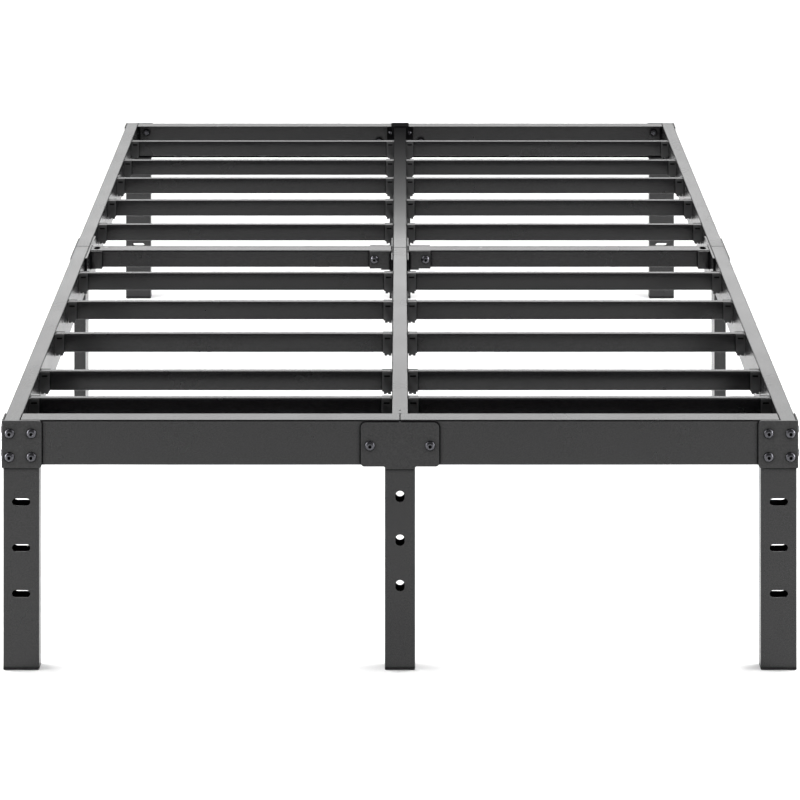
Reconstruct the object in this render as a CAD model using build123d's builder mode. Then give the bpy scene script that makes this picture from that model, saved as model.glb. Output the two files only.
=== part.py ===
from build123d import *
import os

# Queen-size platform bed frame, bolted together from steel box and channel rails and tubes.
# Millimetres. Origin on the floor under the middle of the frame, +Z up.
# The foot end faces -Y and the head end faces +Y; "left" is -X.

os.makedirs("parts", exist_ok=True)

# Overall size
WIDTH = 1524.0          # over the outer faces of the brackets
LENGTH = 2032.0
HEIGHT = 478.0          # floor to the top of the rails
SEAM = 1.0              # half of the joint between two rail or beam halves
MID_Y = -14.0           # where the side rails and the beam are joined, and the middle legs stand

# Sheet and plate
PLATE = 3.0             # brackets
SHEET = 2.0             # rails and beam
CUP_T = 2.5             # cups for the cross-bar

# Rails: closed boxes at the sides, channels that open inwards at the ends
RAIL_H = 86.0
FLANGE = 32.0
BEND_R = 3.0

# Legs
LEG_WALL = 1.5
LEG_R = 3.0
CORNER_LEG = (69.0, 27.0)
CORNER_SLOT = (35.0, 14.0)
CORNER_SLOT_DEPTHS = (156.5, 244.2, 331.9)
MIDDLE_LEG = (58.0, 27.0)
MIDDLE_HOLE = (17.5, 22.0)
MIDDLE_HOLE_DEPTHS = (146.0, 229.5, 316.5)
CENTRE_LEG = 38.0
PAD = 3.0               # foot cap under every leg
LEG_TOP = HEIGHT - RAIL_H - PLATE

# Corner brackets
CORNER_W, CORNER_D, CORNER_H = 77.0, 38.0, 90.5
CORNER_BOLTS_IN = (15.5, 57.3)      # in from the side of the frame
CORNER_BOLT_DEPTHS = (24.3, 69.4)   # below the top
CORNER_SIDE_BOLT_IN = 22.0          # in from the end of the frame

# T-brackets over the middle legs
T_W, T_TOP, T_BOTTOM, T_TAB_BOTTOM = 150.0, 2.7, 87.4, 92.5
T_BOLT_X, T_BOLT_DEPTH = 57.5, 47.7

# Deck
DECK_DROP = 2.5         # slats and beam sit this far below the rail tops
SLAT_W, SLAT_H, SLAT_WALL = 15.0, 38.0, 1.2
SLAT_SETBACKS = (113, 249, 453, 642, 824, 1163, 1349, 1529, 1685, 1859)
BEAM_W, BEAM_H = 32.0, 50.0
BAR_W, BAR_H = 36.0, 39.0           # middle cross-bar, along Y and Z
BAR_Y = MID_Y - 5
BAR_BOLT_X, BAR_CUP_X = 708.0, 694.0
CRADLE_L, CRADLE_W = 154.0, 40.0
WING_X, WING_BOLT_X, WING_BOLT_DEPTH = 71.0, 59.5, 22.5
SPLICE_L, SPLICE_T = 155.0, 5.0     # splice bars on the inner faces of the side rails
HANGER_T, HANGER_BOLT_X, HANGER_BOLT_DEPTH = 2.0, 25.5, 25.0

# Fasteners: M8 with domed heads, and M6 at the beam ends
M8, M8_HEAD, M8_HEAD_H = 7.9, 18.5, 4.5
M6, M6_HEAD, M6_HEAD_H = 5.9, 12.5, 3.2
NUT_AF, NUT_H, NUT_BORE = 13.0, 6.5, 8.2
CLEARANCE = 4.5         # hole radius for an M8 bolt

DECK = HEIGHT - DECK_DROP
WEB_X = WIDTH / 2 - PLATE           # outer face of the side rails
WEB_Y = LENGTH / 2 - PLATE          # outer face of the end rails
FLANGE_X = WEB_X - FLANGE           # inner faces of the side rails
FLANGE_Y = WEB_Y - FLANGE
CORNERS = {"front_left": (-1, -1), "front_right": (1, -1), "rear_left": (-1, 1), "rear_right": (1, 1)}

# One plane per side of the frame: on the brackets' outer faces, at the middle of the
# side's top edge, x along the side, y up and z outwards.
SIDES = {
    "foot": Plane(origin=(0, -LENGTH / 2, HEIGHT), x_dir=(1, 0, 0), z_dir=(0, -1, 0)),
    "right": Plane(origin=(WIDTH / 2, 0, HEIGHT), x_dir=(0, 1, 0), z_dir=(1, 0, 0)),
    "head": Plane(origin=(0, LENGTH / 2, HEIGHT), x_dir=(-1, 0, 0), z_dir=(0, 1, 0)),
    "left": Plane(origin=(-WIDTH / 2, 0, HEIGHT), x_dir=(0, -1, 0), z_dir=(-1, 0, 0)),
}
# The same planes moved to where the middle legs stand
MIDDLES = {
    name: Plane(origin=plane.origin + Vector(0, MID_Y if name in ("left", "right") else 0, 0),
                x_dir=plane.x_dir, z_dir=plane.z_dir)
    for name, plane in SIDES.items()
}
HALF_SPAN = {"foot": WIDTH / 2, "head": WIDTH / 2, "left": LENGTH / 2, "right": LENGTH / 2}


def save(part, node):
    part.label = node
    export_step(part, f"parts/{node}.step")


def corner_bolts(side):
    """Centres of the corner-bracket bolts on one side, on that side's plane."""
    inset = CORNER_BOLTS_IN if side in ("foot", "head") else (CORNER_SIDE_BOLT_IN,)
    span = HALF_SPAN[side]
    return [(s * (span - i), -d) for s in (-1, 1) for i in inset for d in CORNER_BOLT_DEPTHS]


def t_bolts():
    """Centres of the two bolts of a T-bracket, on its middle plane."""
    return [(-T_BOLT_X, -T_BOLT_DEPTH), (T_BOLT_X, -T_BOLT_DEPTH)]


def drill(plane, centres, radius, depth):
    """Cuts round holes into the part being built, from a plane towards its back."""
    with BuildSketch(plane) as holes:
        with Locations(*centres):
            Circle(radius)
    extrude(holes.sketch, amount=-depth, mode=Mode.SUBTRACT)


def span_box(x, y, z, mode=Mode.ADD):
    """Adds or cuts a box given by its limits along each axis."""
    with Locations(((x[0] + x[1]) / 2, (y[0] + y[1]) / 2, (z[0] + z[1]) / 2)):
        Box(abs(x[1] - x[0]), abs(y[1] - y[0]), abs(z[1] - z[0]), mode=mode)


# ---- Rails -------------------------------------------------------------------------

def folded_section(plane, start, end, height, width, sheet, bend, closed):
    """A channel, or a closed box, whose outer face lies on a side plane."""
    section = Plane(
        origin=plane.from_local_coords((start, 0, 0)), x_dir=-plane.z_dir, z_dir=plane.x_dir
    )
    with BuildPart() as channel:
        with BuildSketch(section) as outline:
            with Locations((width / 2, -height / 2)):
                Rectangle(width, height)
            fillet(outline.vertices() if closed else outline.vertices().group_by(Axis.X)[0], bend)
        extrude(amount=end - start)
        with BuildSketch(section) as hollow:
            inside = width - 2 * sheet if closed else width
            with Locations((sheet + inside / 2, -height / 2)):
                Rectangle(inside, height - 2 * sheet)
            fillet(hollow.vertices() if closed else hollow.vertices().group_by(Axis.X)[0], bend - sheet + 0.2)
        extrude(amount=end - start, mode=Mode.SUBTRACT)
    return channel.part


def rail_half(side, start, end):
    """One half of a rail, with whichever of its side's bolt holes lie on it."""
    box = side in ("left", "right")
    with BuildPart() as rail:
        add(folded_section(SIDES[side].offset(-PLATE), start, end, RAIL_H, FLANGE, SHEET, BEND_R, box))
        drill(SIDES[side], corner_bolts(side), CLEARANCE, PLATE + SHEET + 1)
        drill(MIDDLES[side], t_bolts(), CLEARANCE, PLATE + (FLANGE if box else SHEET) + 1)
    return rail.part


# Side rails: box sections, closed at the outer ends by a welded plate for the end bolts.
for side, sx in (("left", -1), ("right", 1)):
    for end, sy in (("front", -1), ("rear", 1)):
        s = sx * sy                 # which way this half runs along its side's plane
        start, stop = sorted((sx * MID_Y + s * SEAM, s * WEB_Y))
        with BuildPart() as side_rail:
            add(rail_half(side, start, stop))
            span_box(
                (sx * (WEB_X - SHEET), sx * (FLANGE_X + SHEET)),
                (sy * WEB_Y, sy * (WEB_Y - SHEET)),
                (HEIGHT - RAIL_H + SHEET, HEIGHT - SHEET),
            )
            ends = "foot" if sy < 0 else "head"
            drill(SIDES[ends], corner_bolts(ends), CLEARANCE, PLATE + SHEET + 1)
        save(side_rail.part, f"side_rail_{side}_{end}")

# End rails are channels that run between the side rails and stop just short of them.
for side, node, sy in (("foot", "foot_rail", -1), ("head", "head_rail", 1)):
    for half, sx in (("left", -1), ("right", 1)):
        s = sx if side == "foot" else -sx
        start, stop = sorted((s * SEAM, s * (FLANGE_X - 1)))
        with BuildPart() as end_rail:
            add(rail_half(side, start, stop))
            drill(SIDES[side], [(s * HANGER_BOLT_X, -HANGER_BOLT_DEPTH)], M6 / 2 + 0.3, PLATE + SHEET + 1)
        save(end_rail.part, f"{node}_{half}")

# Splice bars on the side rails' inner faces bridge the joint, held by long bolts that pass
# through the box. A cup welded to each bar takes the cross-bar's end.
cup_floor = DECK - BAR_H
for side, sx in (("left", -1), ("right", 1)):
    half_cup = BAR_W / 2 + CUP_T + 0.2
    cup_x = (sx * (FLANGE_X - SPLICE_T / 2), sx * BAR_CUP_X)
    with BuildPart() as splice:
        span_box(
            (sx * FLANGE_X, sx * (FLANGE_X - SPLICE_T)),
            (MID_Y - SPLICE_L / 2, MID_Y + SPLICE_L / 2),
            (HEIGHT - RAIL_H + SHEET, HEIGHT - SHEET),
        )
        span_box(cup_x, (BAR_Y - half_cup, BAR_Y + half_cup), (cup_floor - PLATE, cup_floor))
        for s in (-1, 1):
            cheek_y = (BAR_Y + s * half_cup, BAR_Y + s * (half_cup - CUP_T))
            span_box(cup_x, cheek_y, (cup_floor, DECK - 1))
        with BuildSketch(Plane.XY.offset(cup_floor)):
            with Locations((sx * BAR_BOLT_X, BAR_Y)):
                Circle(CLEARANCE)
        extrude(amount=-PLATE, mode=Mode.SUBTRACT)
        drill(MIDDLES[side], t_bolts(), CLEARANCE, PLATE + FLANGE + SPLICE_T + 1)
    save(splice.part, f"side_rail_splice_{side}")


# ---- Brackets ----------------------------------------------------------------------

# Corner brackets: a face plate, a side flange and a shelf between leg and rails.
for name, (sx, sy) in CORNERS.items():
    x_out, y_out = sx * WIDTH / 2, sy * LENGTH / 2
    x_in, y_in = x_out - sx * CORNER_W, y_out - sy * CORNER_D
    with BuildPart() as bracket:
        span_box((x_out, x_in), (y_out, y_in), (HEIGHT - CORNER_H, HEIGHT))
        fold = bracket.edges().filter_by(Axis.Z).sort_by(lambda e: sx * e.center().X + sy * e.center().Y)[-1]
        fillet(fold, BEND_R)
        span_box(
            (x_out - sx * PLATE, x_in - sx), (y_out - sy * PLATE, y_in - sy), (HEIGHT - RAIL_H, HEIGHT + 1),
            mode=Mode.SUBTRACT,
        )
        # The shelf stops short of the face plate's free edge, whose corners are rounded.
        span_box(
            (x_in - sx, x_in + sx * 7), (y_out - sy * PLATE, y_in - sy), (HEIGHT - CORNER_H - 1, HEIGHT + 1),
            mode=Mode.SUBTRACT,
        )
        # The plates reach a little below the shelf, round the top of the leg.
        span_box(
            (x_out - sx * PLATE, x_in - sx), (y_out - sy * PLATE, y_in - sy), (HEIGHT - CORNER_H - 1, LEG_TOP),
            mode=Mode.SUBTRACT,
        )
        ends = "foot" if sy < 0 else "head"
        flank = "left" if sx < 0 else "right"
        drill(SIDES[ends], corner_bolts(ends), CLEARANCE, PLATE + 1)
        drill(SIDES[flank], corner_bolts(flank), CLEARANCE, PLATE + 1)
        free_corner = (
            bracket.edges().filter_by(Axis.Y)
            .filter_by(lambda e: abs(e.center().X - x_in) < 0.1 and abs(e.length - PLATE) < 0.1)
        )
        fillet(free_corner, 6)
    save(bracket.part, f"corner_bracket_{name}")

# T-brackets: a plate over the rail joint with a tab and shelf for the middle leg.
for side, plane in MIDDLES.items():
    shelf = Plane(origin=plane.from_local_coords((0, -RAIL_H - PLATE, 0)), x_dir=plane.x_dir, z_dir=(0, 0, 1))
    with BuildPart() as t_bracket:
        with BuildSketch(plane) as outline:
            with Locations((0, -(T_TOP + T_BOTTOM) / 2)):
                Rectangle(T_W, T_BOTTOM - T_TOP)
            corners = outline.vertices().group_by(Axis.Y)
            fillet(corners[-1], 11)
            fillet(outline.vertices().group_by(Axis.Y)[0], 7)
            with Locations((0, -(T_BOTTOM + T_TAB_BOTTOM) / 2 + 5)):
                Rectangle(MIDDLE_LEG[0], T_TAB_BOTTOM - T_BOTTOM + 10)
        extrude(amount=-PLATE)
        with BuildSketch(shelf):
            with Locations((0, PLATE + FLANGE / 2)):
                Rectangle(MIDDLE_LEG[0], FLANGE)
        extrude(amount=PLATE)
        drill(plane, t_bolts(), CLEARANCE, PLATE + 1)
        if side in ("foot", "head"):
            with BuildSketch(plane.offset(-PLATE)):
                with Locations((-HANGER_BOLT_X, -HANGER_BOLT_DEPTH), (HANGER_BOLT_X, -HANGER_BOLT_DEPTH)):
                    Circle(M6 / 2 + 0.1)
            extrude(amount=PLATE - 0.6, mode=Mode.SUBTRACT)
    save(t_bracket.part, f"t_bracket_{side}")


# ---- Legs --------------------------------------------------------------------------

def leg(plane, size, hole, depths):
    """A leg tube under a side plane's rail, with a row of holes through both faces."""
    base = Plane(origin=plane.from_local_coords((0, PAD - HEIGHT, -PLATE)), x_dir=plane.x_dir, z_dir=(0, 0, 1))
    with BuildPart() as tube:
        with BuildSketch(base):
            with Locations((0, size[1] / 2)):
                RectangleRounded(size[0], size[1], LEG_R)
                RectangleRounded(size[0] - 2 * LEG_WALL, size[1] - 2 * LEG_WALL, LEG_R - LEG_WALL,
                                 mode=Mode.SUBTRACT)
        extrude(amount=LEG_TOP - PAD)
        with BuildSketch(plane):
            with Locations(*[(0, -d) for d in depths]):
                if hole[0] > hole[1]:
                    SlotOverall(hole[0], hole[1])
                else:
                    SlotOverall(hole[1], hole[0], rotation=90)
        extrude(amount=-PLATE - size[1] - 1, mode=Mode.SUBTRACT)
    return tube.part


CORNER_LEG_X = WEB_X - CORNER_LEG[0] / 2
for name, (sx, sy) in CORNERS.items():
    plane = SIDES["foot" if sy < 0 else "head"]
    shifted = plane.shift_origin((sx * CORNER_LEG_X, plane.origin.Y, plane.origin.Z))
    save(leg(shifted, CORNER_LEG, CORNER_SLOT, CORNER_SLOT_DEPTHS), f"corner_leg_{name}")

for side, node in (
    ("foot", "foot_middle_leg"), ("head", "head_middle_leg"),
    ("left", "side_middle_leg_left"), ("right", "side_middle_leg_right"),
):
    save(leg(MIDDLES[side], MIDDLE_LEG, MIDDLE_HOLE, MIDDLE_HOLE_DEPTHS), node)

cradle_under = DECK - BEAM_H - PLATE
with BuildPart() as centre_leg:
    with BuildSketch(Plane.XY.offset(PAD)):
        with Locations((0, MID_Y)):
            RectangleRounded(CENTRE_LEG, CENTRE_LEG, LEG_R)
            RectangleRounded(CENTRE_LEG - 2 * LEG_WALL, CENTRE_LEG - 2 * LEG_WALL, LEG_R - LEG_WALL,
                             mode=Mode.SUBTRACT)
    extrude(amount=cradle_under - PAD)
save(centre_leg.part, "centre_leg")

# Foot caps: a pad under each tube with a plug up inside it.
middle_in = MIDDLE_LEG[1] / 2
cap_spots = [(sx * CORNER_LEG_X, sy * (WEB_Y - CORNER_LEG[1] / 2), *CORNER_LEG) for sx, sy in CORNERS.values()]
cap_spots += [(0, sy * (WEB_Y - middle_in), *MIDDLE_LEG) for sy in (-1, 1)]
cap_spots += [(sx * (WEB_X - middle_in), MID_Y, MIDDLE_LEG[1], MIDDLE_LEG[0]) for sx in (-1, 1)]
cap_spots += [(0, MID_Y, CENTRE_LEG, CENTRE_LEG)]
with BuildPart() as foot_caps:
    with BuildSketch(Plane.XY):
        for x, y, w, d in cap_spots:
            with Locations((x, y)):
                RectangleRounded(w, d, LEG_R)
    extrude(amount=PAD)
    with BuildSketch(Plane.XY.offset(PAD)):
        for x, y, w, d in cap_spots:
            with Locations((x, y)):
                RectangleRounded(w - 2 * LEG_WALL - 0.4, d - 2 * LEG_WALL - 0.4, LEG_R - LEG_WALL)
    extrude(amount=12)
save(foot_caps.part, "foot_caps")


# ---- Centre beam, cradle and cross-bar ------------------------------------------------

HANGER_FACE = WEB_Y - SHEET - HANGER_T
BEAM_END = HANGER_FACE - 0.5
for node, start, stop in (
    ("centre_beam_front", -BEAM_END, MID_Y - SEAM), ("centre_beam_rear", MID_Y + SEAM, BEAM_END),
):
    with BuildPart() as beam:
        with BuildSketch(Plane.XZ.offset(-stop)):
            with Locations((0, DECK - BEAM_H / 2)):
                RectangleRounded(BEAM_W, BEAM_H, BEND_R)
                RectangleRounded(BEAM_W - 2 * SHEET, BEAM_H - 2 * SHEET, BEND_R - SHEET, mode=Mode.SUBTRACT)
        extrude(amount=stop - start)
        if node == "centre_beam_front":
            # A round-ended notch in the top wall and a small hole, at the foot end only
            with BuildSketch(Plane.XY.offset(DECK + 1)):
                with Locations((0, -(HANGER_FACE + FLANGE_Y) / 2)):
                    Rectangle(15, HANGER_FACE - FLANGE_Y)
                with Locations((0, -FLANGE_Y)):
                    Circle(7.5)
                with Locations((0, -FLANGE_Y + 22)):
                    Circle(2)
            extrude(amount=-SHEET - 1.5, mode=Mode.SUBTRACT)
    save(beam.part, node)

# Hangers hold the beam's ends to the end rails; the head one also laps over the rail.
for node, sy in (("beam_end_bracket_foot", -1), ("beam_end_bracket_head", 1)):
    plate_out, plate_in, tip = WEB_Y - SHEET, HANGER_FACE, FLANGE_Y - 2
    top = HEIGHT - 6
    under = DECK - BEAM_H
    with BuildPart() as hanger:
        span_box((-34, 34), (sy * plate_out, sy * plate_in), (under - HANGER_T, top))
        for sx in (-1, 1):
            ear = (sx * (BEAM_W / 2 + 0.2), sx * (BEAM_W / 2 + 0.2 + HANGER_T))
            span_box(ear, (sy * plate_in, sy * tip), (under - HANGER_T, top))
        span_box((-BEAM_W / 2 - 0.2, BEAM_W / 2 + 0.2), (sy * plate_in, sy * tip), (under - HANGER_T, under))
        drill(
            SIDES["foot" if sy < 0 else "head"],
            [(-HANGER_BOLT_X, -HANGER_BOLT_DEPTH), (HANGER_BOLT_X, -HANGER_BOLT_DEPTH)], M6 / 2 + 0.3, 12,
        )
        if sy > 0:
            for sx in (-1, 1):
                riser = (sx * (BEAM_W / 2 + 0.2), sx * 23)
                span_box(riser, (tip, FLANGE_Y - 0.3), (top - 14, HEIGHT + 1.5))
            span_box((-23, 23), (tip, FLANGE_Y - 0.3), (DECK + 0.2, HEIGHT + 1.5))
            span_box((-23, 23), (tip, WEB_Y - 1), (HEIGHT, HEIGHT + 1.5))
    save(hanger.part, node)

# Cradle under the beam's joint, with wing plates on both faces of the cross-bar.
cradle_y = (MID_Y - CRADLE_L / 2, MID_Y + CRADLE_L / 2)
with BuildPart() as cradle:
    span_box((-CRADLE_W / 2, CRADLE_W / 2), cradle_y, (cradle_under, DECK - 3))
    span_box(
        (PLATE - CRADLE_W / 2, CRADLE_W / 2 - PLATE), (cradle_y[0] - 1, cradle_y[1] + 1),
        (cradle_under + PLATE, DECK), mode=Mode.SUBTRACT,
    )
    for sx in (-1, 1):
        for sy in (-1, 1):
            wing_y = (BAR_Y + sy * BAR_W / 2, BAR_Y + sy * (BAR_W / 2 + PLATE))
            span_box((sx * CRADLE_W / 2, sx * WING_X), wing_y, (DECK - BAR_H - 2, DECK))
            span_box((sx * CRADLE_W / 2, sx * 44), wing_y, (DECK - BAR_H - 5, DECK - BAR_H))
    with BuildSketch(Plane.XZ):
        with Locations(*[(s * WING_BOLT_X, HEIGHT - WING_BOLT_DEPTH) for s in (-1, 1)]):
            Circle(CLEARANCE)
    extrude(amount=2 * BAR_W, both=True, mode=Mode.SUBTRACT)
save(cradle.part, "centre_cradle")

# Cross-bar halves: a crush tube near the outer end takes the upright bolt.
bar_inner, bar_outer = CRADLE_W / 2 + 1, FLANGE_X - SPLICE_T - 1
CRUSH_H = BAR_H - 14
for node, sx in (("cross_bar_left", -1), ("cross_bar_right", 1)):
    with BuildPart() as bar:
        with BuildSketch(Plane.YZ.offset(sx * bar_inner)):
            with Locations((BAR_Y, DECK - BAR_H / 2)):
                RectangleRounded(BAR_W, BAR_H, BEND_R)
                RectangleRounded(BAR_W - 3, BAR_H - 3, BEND_R - 1.5, mode=Mode.SUBTRACT)
        extrude(amount=sx * (bar_outer - bar_inner))
        with BuildSketch(Plane.XY.offset(DECK + 1)):
            with Locations((sx * BAR_BOLT_X, BAR_Y)):
                SlotOverall(19, 14, rotation=90)
        extrude(amount=-3.5, mode=Mode.SUBTRACT)
        for radius, mode in ((CLEARANCE + 2, Mode.ADD), (CLEARANCE, Mode.SUBTRACT)):
            with BuildSketch(Plane.XY.offset(DECK - BAR_H)):
                with Locations((sx * BAR_BOLT_X, BAR_Y)):
                    Circle(radius)
            extrude(amount=CRUSH_H, mode=mode)
        with BuildSketch(Plane.XZ):
            with Locations((sx * WING_BOLT_X, HEIGHT - WING_BOLT_DEPTH)):
                Circle(CLEARANCE)
        extrude(amount=2 * BAR_W, both=True, mode=Mode.SUBTRACT)
    save(bar.part, node)


# ---- Slats and their shoes ---------------------------------------------------------------

SLAT_INNER = BEAM_W / 2 + 2.5
SLAT_OUTER = FLANGE_X - 2.5
slat_ys = [-LENGTH / 2 + s + SLAT_W / 2 for s in SLAT_SETBACKS]
slat_under = DECK - SLAT_H
for side, sx in (("left", -1), ("right", 1)):
    for row, y in enumerate(slat_ys, start=1):
        with BuildPart() as slat:
            with BuildSketch(Plane.YZ.offset(sx * SLAT_INNER)):
                with Locations((y, DECK - SLAT_H / 2)):
                    RectangleRounded(SLAT_W, SLAT_H, 1.8)
                    RectangleRounded(SLAT_W - 2 * SLAT_WALL, SLAT_H - 2 * SLAT_WALL, 0.6, mode=Mode.SUBTRACT)
            extrude(amount=sx * (SLAT_OUTER - SLAT_INNER))
        save(slat.part, f"slat_{side}_{row}")

SHOE_T, SHOE_L = 1.6, 20.0
shoe_half = SLAT_W / 2 + SHOE_T


def shoe(y, sx, face, way):
    """A sleeve for one slat end, standing against a steel face and running away from it.

    It has a small window in each cheek, and under it a catch with a notched lower edge.
    """
    def run(near, far):
        return sx * (face + way * near), sx * (face + way * far)

    span_box(run(0, SHOE_L), (y - shoe_half, y + shoe_half), (slat_under - SHOE_T, DECK))
    span_box(run(2.2, SHOE_L + 1), (y - SLAT_W / 2, y + SLAT_W / 2), (slat_under, DECK + 1),
             mode=Mode.SUBTRACT)
    span_box(run(4, 16), (y - shoe_half - 1, y + shoe_half + 1), (DECK - 10.5, DECK - 6.5),
             mode=Mode.SUBTRACT)
    span_box(run(2, 17), (y - 4, y + 4), (slat_under - 8.5, slat_under - SHOE_T))
    span_box(run(8, 11), (y - 5, y + 5), (slat_under - 9.5, slat_under - 6.5), mode=Mode.SUBTRACT)


with BuildPart() as side_shoes:
    for sx in (-1, 1):
        for y in slat_ys:
            shoe(y, sx, FLANGE_X, -1)
save(side_shoes.part, "slat_shoes_side")

with BuildPart() as centre_shoes:
    for sx in (-1, 1):
        for y in slat_ys:
            shoe(y, sx, BEAM_W / 2, 1)
save(centre_shoes.part, "slat_shoes_centre")


# ---- Fasteners -----------------------------------------------------------------------------

def bolt(head, head_h, shank, length, socket):
    """A domed bolt on +Z: the head sits on Z = 0 and the shank points down."""
    with BuildPart() as one:
        with BuildSketch(Plane.XZ):
            with BuildLine():
                rim = head_h * 0.28
                Polyline((0, head_h), (0, -length), (shank / 2, -length), (shank / 2, 0),
                         (head / 2, 0), (head / 2, rim))
                ThreePointArc((head / 2, rim), (head * 0.28, head_h * 0.86), (0, head_h))
            make_face()
        revolve(axis=Axis.Z)
        with BuildSketch(Plane.XY.offset(head_h + 1)):
            RegularPolygon(socket / 2, 6, major_radius=False)
        extrude(amount=-1 - head_h * 0.6, mode=Mode.SUBTRACT)
    return one.part


def nut_at_origin():
    """A nut on +Z with its upper face at Z = 0."""
    with BuildPart() as one:
        with BuildSketch(Plane.XY):
            RegularPolygon(NUT_AF / 2, 6, major_radius=False)
            Circle(NUT_BORE / 2, mode=Mode.SUBTRACT)
        extrude(amount=-NUT_H)
    return one.part


thin_bolts = []         # bracket + rail
long_bolts = []         # bracket + side rail + splice bar
for side in SIDES:
    thin_bolts += [SIDES[side].location * Location((x, y, 0)) for x, y in corner_bolts(side)]
    target = thin_bolts if side in ("foot", "head") else long_bolts
    target += [MIDDLES[side].location * Location((x, y, 0)) for x, y in t_bolts()]
wing_face = BAR_Y - BAR_W / 2 - PLATE
wing_spots = [(sx * WING_BOLT_X, HEIGHT - WING_BOLT_DEPTH) for sx in (-1, 1)]
wing_bolts = [Location((x, wing_face, z), (90, 0, 0)) for x, z in wing_spots]
cup_under = DECK - BAR_H - PLATE
bar_bolts = [Location((sx * BAR_BOLT_X, BAR_Y, cup_under), (180, 0, 0)) for sx in (-1, 1)]
hanger_bolts = [
    Location((sx * HANGER_BOLT_X, sy * HANGER_FACE, HEIGHT - HANGER_BOLT_DEPTH), (90 * sy, 0, 0))
    for sx in (-1, 1) for sy in (-1, 1)
]
THIN, LONG = PLATE + SHEET, PLATE + FLANGE + SPLICE_T
SPREAD = BAR_W + 2 * PLATE
UPRIGHT = CRUSH_H + PLATE

with BuildPart() as bolts:
    with Locations(*thin_bolts):
        add(bolt(M8_HEAD, M8_HEAD_H, M8, THIN + NUT_H + 1.5, 5))
    with Locations(*long_bolts):
        add(bolt(M8_HEAD, M8_HEAD_H, M8, LONG + NUT_H + 1.5, 5))
    with Locations(*wing_bolts):
        add(bolt(M8_HEAD, M8_HEAD_H, M8, SPREAD + NUT_H + 1.5, 5))
    with Locations(*bar_bolts):
        add(bolt(M8_HEAD, M8_HEAD_H, M8, UPRIGHT + NUT_H + 0.5, 5))
    with Locations(*hanger_bolts):
        add(bolt(M6_HEAD, M6_HEAD_H, M6, HANGER_T + SHEET + PLATE - 0.8, 4))
save(bolts.part, "bolts")

with BuildPart() as nuts:
    with Locations(*[spot * Location((0, 0, -THIN)) for spot in thin_bolts]):
        add(nut_at_origin())
    with Locations(*[spot * Location((0, 0, -LONG)) for spot in long_bolts]):
        add(nut_at_origin())
    with Locations(*[spot * Location((0, 0, -SPREAD)) for spot in wing_bolts]):
        add(nut_at_origin())
    with Locations(*[spot * Location((0, 0, -UPRIGHT)) for spot in bar_bolts]):
        add(nut_at_origin())
save(nuts.part, "nuts")
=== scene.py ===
"""Looks for a bolted steel bed frame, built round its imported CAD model."""

import math

import bmesh
import bpy
from bpy.props import FloatProperty, IntProperty, PointerProperty, StringProperty
from mathutils import Matrix, Vector


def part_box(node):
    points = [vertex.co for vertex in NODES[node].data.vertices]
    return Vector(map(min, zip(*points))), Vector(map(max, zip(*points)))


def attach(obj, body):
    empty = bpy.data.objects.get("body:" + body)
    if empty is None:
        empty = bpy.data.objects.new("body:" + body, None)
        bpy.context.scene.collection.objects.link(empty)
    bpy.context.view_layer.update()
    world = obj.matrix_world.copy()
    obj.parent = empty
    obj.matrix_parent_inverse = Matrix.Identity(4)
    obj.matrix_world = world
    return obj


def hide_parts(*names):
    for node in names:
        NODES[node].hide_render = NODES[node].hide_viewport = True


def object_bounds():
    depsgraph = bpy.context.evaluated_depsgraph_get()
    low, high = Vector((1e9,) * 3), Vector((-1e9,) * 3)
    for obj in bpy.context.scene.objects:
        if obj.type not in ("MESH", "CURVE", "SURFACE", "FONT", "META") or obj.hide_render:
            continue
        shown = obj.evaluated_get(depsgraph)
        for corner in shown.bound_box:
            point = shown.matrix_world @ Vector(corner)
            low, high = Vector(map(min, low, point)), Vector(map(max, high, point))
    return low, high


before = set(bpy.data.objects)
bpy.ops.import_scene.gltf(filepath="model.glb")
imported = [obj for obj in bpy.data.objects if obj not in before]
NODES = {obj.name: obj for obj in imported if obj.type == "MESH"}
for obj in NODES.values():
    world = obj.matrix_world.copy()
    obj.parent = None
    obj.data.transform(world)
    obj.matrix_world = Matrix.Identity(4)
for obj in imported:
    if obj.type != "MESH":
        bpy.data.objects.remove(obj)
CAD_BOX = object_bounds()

bl_info = {
    "name": "Bolted Bed Frame",
    "version": (1, 0, 0),
    "blender": (4, 5, 0),
    "location": "3D View > Sidebar > Bed Frame",
    "description": "Finishes the steelwork, slats, fittings and studio of a slatted bed frame",
    "category": "Object",
}

MM = 0.001

RAILS = [f"side_rail_{s}_{e}" for s in ("left", "right") for e in ("front", "rear")]
RAILS += [f"{end}_rail_{s}" for end in ("foot", "head") for s in ("left", "right")]
PLATES = [f"corner_bracket_{e}_{s}" for e in ("front", "rear") for s in ("left", "right")]
PLATES += [f"t_bracket_{s}" for s in ("foot", "head", "left", "right")]
SPLICES = ["side_rail_splice_left", "side_rail_splice_right", "centre_cradle"]
SPLICES += ["beam_end_bracket_foot", "beam_end_bracket_head"]
CORNER_LEGS = [f"corner_leg_{e}_{s}" for e in ("front", "rear") for s in ("left", "right")]
MIDDLE_LEGS = ["foot_middle_leg", "head_middle_leg", "side_middle_leg_left", "side_middle_leg_right"]
LEGS = CORNER_LEGS + MIDDLE_LEGS + ["centre_leg"]
BEAMS = ["centre_beam_front", "centre_beam_rear", "cross_bar_left", "cross_bar_right"]
SLATS = [f"slat_{s}_{row}" for s in ("left", "right") for row in range(1, 11)]

# Steelwork given copies of the satin coat as painted shade: a lower gloss on the cross-bars and head rails,
# and reflections fading out towards the rear on the rear beam
OTHER_COATS = {
    "thin_powder_coat": ["cross_bar_left", "cross_bar_right", "head_rail_left", "head_rail_right"],
    "dry_powder_coat": ["centre_beam_rear", "beam_end_bracket_head"],
}
COAT_OF = {node: coat for coat, nodes in OTHER_COATS.items() for node in nodes}

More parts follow.
